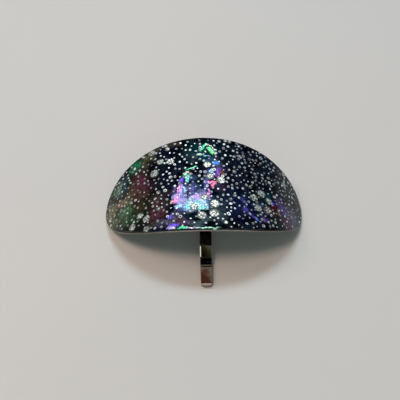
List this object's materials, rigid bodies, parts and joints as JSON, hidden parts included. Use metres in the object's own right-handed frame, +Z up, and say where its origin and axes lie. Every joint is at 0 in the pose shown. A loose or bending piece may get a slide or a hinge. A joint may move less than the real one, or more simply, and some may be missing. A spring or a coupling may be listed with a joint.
{
  "type": "ponytail hook hair clip",
  "caption": "Arched oval metal hair clip with a dark iridescent, silver-speckled face and a flat hook underneath that slides into a ponytail's elastic band.",
  "frame": {"origin": "bottom centre of the whole clip's box, on the table that it lies on", "axes": "+X along the clip's width, over the arch; -Y the way the hook's free end points; +Z up, from the table to the crown of the arch"},
  "size_m": [0.0602, 0.0434, 0.0161],
  "materials": {
    "polished_steel": "polished steel with a dark nickel plating, a dark mirror with a fine grain along the strip",
    "iridescent_facing": "glossy near-black foil layer with violet, blue, green and magenta iridescence and silver speckles and crinkled foil flakes"
  },
  "bodies": {
    "root": {"plate_and_hook": "polished_steel", "facing": "iridescent_facing"}
  },
  "joints": []
}
